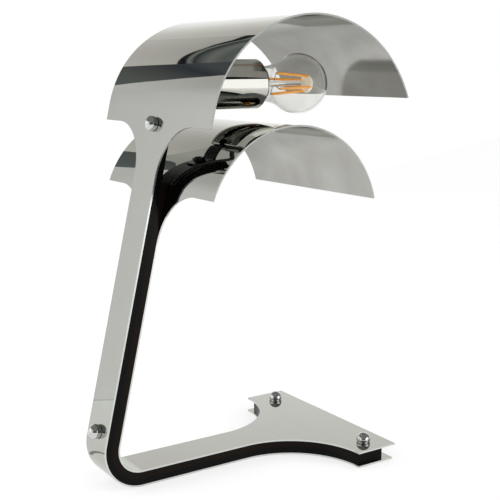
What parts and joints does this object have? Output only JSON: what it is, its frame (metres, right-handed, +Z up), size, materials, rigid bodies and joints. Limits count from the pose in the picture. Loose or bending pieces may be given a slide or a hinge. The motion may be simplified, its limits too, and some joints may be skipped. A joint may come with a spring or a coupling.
{
  "type": "desk lamp",
  "caption": "Rigid desk lamp bent from chromed sheet strips over a black core, leaning leg, T-shaped base, half-cylinder shade above a matching reflector, screw-in globe bulb between them.",
  "frame": {"origin": "floor level under the middle of the lamp's footprint", "axes": "+Z up, +X from the leg towards the front of the base and shades, +Y along the shades"},
  "size_m": [0.2204, 0.149, 0.3277],
  "materials": {
    "chrome_sheet": "polished chrome plate on steel sheet",
    "black_core": "glossy black plastic",
    "chrome_fastener": "polished chrome plate",
    "plated_steel": "zinc-plated steel",
    "black_rubber": "matt black rubber",
    "chrome_cup": "polished chrome plate",
    "black_moulding": "black moulded thermoset",
    "porcelain": "white glazed porcelain",
    "brass": "bare brass",
    "lead_sheath": "black flexible sheath",
    "lead_wire": "pale wire insulation",
    "bulb_cap_metal": "bright aluminium",
    "dark_glass": "black vitreous insulator",
    "solder": "tinned contact",
    "clear_glass": "clear thin glass",
    "stem_glass": "clear glass",
    "filament": "amber phosphor coating",
    "wire": "bare nickel wire"
  },
  "bodies": {
    "lamp": {"rear_sheet": "chrome_sheet", "front_sheet": "chrome_sheet", "core_rear_layer": "black_core", "core_front_layer": "black_core", "base_washers": "chrome_fastener", "base_cap_nuts": "chrome_fastener", "heel_washers": "chrome_fastener", "heel_cap_nuts": "chrome_fastener", "top_washer": "chrome_fastener", "top_cap_nut": "chrome_fastener", "base_screws": "plated_steel", "heel_stud": "plated_steel", "top_stud": "plated_steel", "top_lock_nut": "plated_steel", "holder_bracket": "plated_steel", "holder_nipple": "plated_steel", "nipple_nuts": "plated_steel", "rubber_feet": "black_rubber", "cord_bushing": "black_rubber", "holder_cup": "chrome_cup", "holder_rear_shell": "black_moulding", "holder_sleeve": "black_moulding", "holder_insert": "porcelain", "thread_shell": "brass", "centre_contact": "brass", "terminal_screws": "brass", "inner_lead": "lead_sheath", "lead_wires": "lead_wire"},
    "bulb": {"bulb_cap": "bulb_cap_metal", "bulb_insulator": "dark_glass", "bulb_tip": "solder", "bulb_globe": "clear_glass", "bulb_stem": "stem_glass", "bulb_filaments": "filament", "bulb_wires": "wire"}
  },
  "joints": [
    {"name": "bulb_thread", "type": "hinge", "parent": "lamp", "child": "bulb", "pos_m": [0.03, 0, 0.28056], "axis": [1, 0, 0], "range_deg": [0, 900]}
  ]
}
